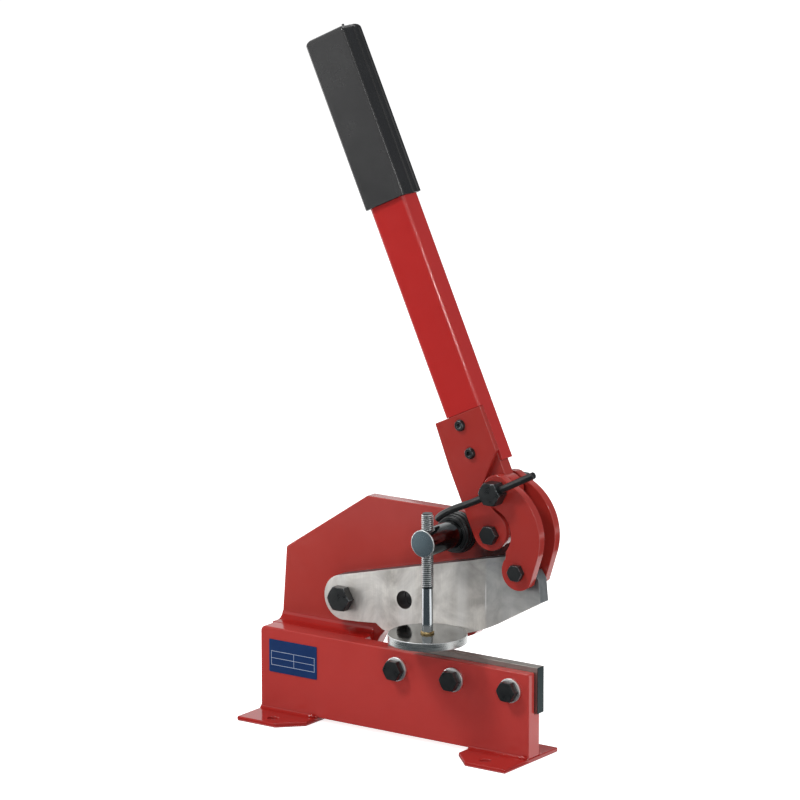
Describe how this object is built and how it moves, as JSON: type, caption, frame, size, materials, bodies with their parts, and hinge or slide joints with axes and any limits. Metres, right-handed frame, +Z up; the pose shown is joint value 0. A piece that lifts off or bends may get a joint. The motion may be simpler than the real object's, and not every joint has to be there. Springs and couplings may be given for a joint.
{
  "type": "bench rod shear",
  "caption": "Bench shear on bolted feet: long lever, C-shaped links, pivoting upper blade with a hole for cropping round bar, bolted lower blade, lock rod and screwed hold-down foot",
  "frame": {"origin": "centre of the four bench bolt holes, on the underside of the feet", "axes": "+X runs along the blades from the blade pivot to the open end, +Y from the front to the back, +Z up from the bench"},
  "size_m": [0.2776, 0.1089, 0.593],
  "materials": {
    "red_paint": "glossy red enamel",
    "label_film": "smooth dark blue, bare of text",
    "blade_steel": "ground tool steel",
    "zinc_steel": "bright zinc plate",
    "black_steel": "black oxide",
    "grip_plastic": "moulded black plastic",
    "bright_chrome": "bright plated steel",
    "braze_brass": "brazing metal, as laid"
  },
  "bodies": {
    "frame": {"front_beam": "red_paint", "web_block": "red_paint", "rear_plate": "red_paint", "left_foot": "red_paint", "right_foot": "red_paint", "foot_welds": "red_paint", "label_plate": "label_film", "lower_blade": "blade_steel", "lower_blade_washers": "zinc_steel", "lower_blade_bolts": "black_steel", "blade_pivot_bolt": "black_steel", "blade_pivot_washer": "zinc_steel", "blade_pivot_nut": "black_steel", "lever_pivot_bolt": "black_steel", "lever_pivot_washer": "zinc_steel", "lever_pivot_nut": "black_steel", "hold_down_bar": "bright_chrome", "hold_down_collar": "black_steel", "hold_down_washer": "zinc_steel", "hold_down_nut": "black_steel"},
    "blade": {"upper_blade": "blade_steel"},
    "lever": {"lever_cheek": "red_paint", "lever_core": "red_paint", "handle_tube": "red_paint", "handle_grip": "grip_plastic", "lever_screws": "black_steel", "lever_screw_nuts": "black_steel"},
    "links": {"front_link": "red_paint", "rear_link": "red_paint", "link_lower_bolt": "black_steel", "link_lower_nut": "black_steel"},
    "lock": {"link_upper_bolt": "black_steel", "link_upper_nut": "black_steel", "lock_rod": "black_steel"},
    "hold_down": {"hold_down_screw": "bright_chrome", "hold_down_braze": "braze_brass", "hold_down_foot": "bright_chrome"}
  },
  "joints": [
    {"name": "lever_swing", "type": "hinge", "parent": "frame", "child": "lever", "pos_m": [0.08975, 0.0193, 0.1842], "axis": [0, 1, 0], "range_deg": [0, 100]},
    {"name": "blade_swing", "type": "hinge", "parent": "frame", "child": "blade", "pos_m": [-0.06325, 0.0193, 0.1073], "axis": [0, 1, 0], "range_deg": [0, 16.43]},
    {"name": "link_swing", "type": "hinge", "parent": "lever", "child": "links", "pos_m": [0.09852, 0.0193, 0.22198], "axis": [0, 1, 0], "range_deg": [-75.99, 0]},
    {"name": "lock_swing", "type": "hinge", "parent": "lever", "child": "lock", "pos_m": [0.09852, 0.0193, 0.22198], "axis": [0, 1, 0], "range_deg": [0, 60]},
    {"name": "hold_down_slide", "type": "slide", "parent": "frame", "child": "hold_down", "axis": [0, 0, 1], "range_m": [-0.012, 0.025]}
  ],
  "couplings": [
    {"joint": "blade_swing", "follows": "lever_swing", "ratio": 0.16429},
    {"joint": "link_swing", "follows": "lever_swing", "ratio": -0.75992}
  ]
}
